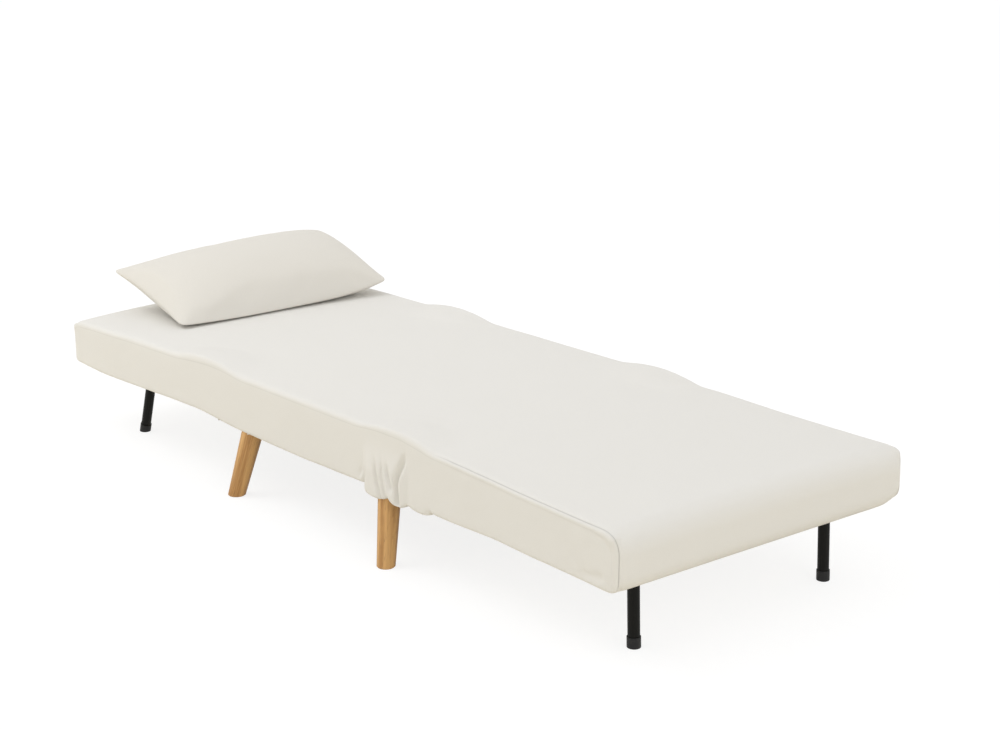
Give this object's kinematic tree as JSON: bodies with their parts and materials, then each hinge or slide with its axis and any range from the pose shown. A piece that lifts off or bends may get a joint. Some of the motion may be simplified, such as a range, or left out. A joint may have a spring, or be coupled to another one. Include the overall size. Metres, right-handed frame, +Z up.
{
  "type": "convertible chair bed",
  "caption": "Convertible chair bed opened flat: hinged upholstered back, seat and fold-over foot sections on splayed wooden legs and folding tube legs, with a loose pillow.",
  "frame": {"origin": "on the floor under the middle of the bed as it lies open", "axes": "+X to the foot end, +Y to the left side of a person lying on it, +Z up"},
  "size_m": [1.876, 0.7298, 0.3893],
  "materials": {
    "cream_woven_cover": "matte woven",
    "foam_and_filling": "matte foam",
    "oiled_oak": "satin oiled",
    "birch_plywood": "satin",
    "black_powder_coated_steel": "satin powder coat",
    "zinc_plated_steel": "zinc plated",
    "black_plastic": "matte moulded"
  },
  "bodies": {
    "seat_section": {"seat_side_rails": "black_powder_coated_steel", "seat_cross_rails": "black_powder_coated_steel", "seat_rail_plugs": "black_plastic", "seat_slats": "birch_plywood", "seat_slat_shoes": "black_plastic", "seat_foam": "foam_and_filling", "seat_cover": "cream_woven_cover", "recline_seat_plates": "zinc_plated_steel", "fold_seat_plates": "zinc_plated_steel", "recline_pins": "zinc_plated_steel", "fold_pins": "zinc_plated_steel", "seat_plate_bolts": "zinc_plated_steel", "leg_plates": "black_powder_coated_steel", "leg_bolts": "zinc_plated_steel", "wood_leg_rear_left": "oiled_oak", "wood_leg_rear_right": "oiled_oak", "wood_leg_front_left": "oiled_oak", "wood_leg_front_right": "oiled_oak"},
    "back_section": {"back_side_rails": "black_powder_coated_steel", "back_cross_rails": "black_powder_coated_steel", "back_rail_plugs": "black_plastic", "back_slats": "birch_plywood", "back_slat_shoes": "black_plastic", "back_foam": "foam_and_filling", "back_cover": "cream_woven_cover", "back_under_panel": "cream_woven_cover", "recline_back_plates": "zinc_plated_steel", "pawl_pins": "zinc_plated_steel", "pawl_springs": "zinc_plated_steel", "back_plate_bolts": "zinc_plated_steel", "back_leg_pivot_bolts": "zinc_plated_steel"},
    "foot_section": {"foot_side_rails": "black_powder_coated_steel", "foot_cross_rails": "black_powder_coated_steel", "foot_rail_plugs": "black_plastic", "foot_slats": "birch_plywood", "foot_slat_shoes": "black_plastic", "foot_foam": "foam_and_filling", "foot_cover": "cream_woven_cover", "foot_under_panel": "cream_woven_cover", "foot_under_pad": "foam_and_filling", "fold_foot_plates": "zinc_plated_steel", "foot_plate_bolts": "zinc_plated_steel", "foot_leg_pivot_bolts": "zinc_plated_steel"},
    "head_legs": {"head_leg_frame": "black_powder_coated_steel", "head_leg_caps": "black_plastic"},
    "foot_legs": {"foot_leg_frame": "black_powder_coated_steel", "foot_leg_caps": "black_plastic"},
    "pawl_left": {"pawl_left": "zinc_plated_steel"},
    "pawl_right": {"pawl_right": "zinc_plated_steel"},
    "pillow": {"pillow_cover": "cream_woven_cover", "pillow_filling": "foam_and_filling"}
  },
  "joints": [
    {"name": "back_recline", "type": "hinge", "parent": "seat_section", "child": "back_section", "pos_m": [-0.36, 0, 0.2665], "axis": [0, 1, 0], "range_deg": [0, 70]},
    {"name": "foot_fold", "type": "hinge", "parent": "seat_section", "child": "foot_section", "pos_m": [0.31, 0, 0.2665], "axis": [0, -1, 0], "range_deg": [0, 180]},
    {"name": "foot_legs_fold", "type": "hinge", "parent": "foot_section", "child": "foot_legs", "pos_m": [0.84605, 0, 0.1705], "axis": [0, 1, 0], "range_deg": [0, 92]},
    {"name": "head_legs_fold", "type": "hinge", "parent": "back_section", "child": "head_legs", "pos_m": [-0.7086, 0, 0.1705], "axis": [0, -1, 0], "range_deg": [0, 108]},
    {"name": "pawl_left_swing", "type": "hinge", "parent": "back_section", "child": "pawl_left", "pos_m": [-0.37984, 0, 0.212], "axis": [0, -1, 0], "range_deg": [0, 17]},
    {"name": "pawl_right_swing", "type": "hinge", "parent": "back_section", "child": "pawl_right", "pos_m": [-0.37984, 0, 0.212], "axis": [0, -1, 0], "range_deg": [0, 17]},
    {"name": "pillow_lift", "type": "slide", "parent": "back_section", "child": "pillow", "axis": [0, 0, 1], "range_m": [0, 0.25]}
  ]
}
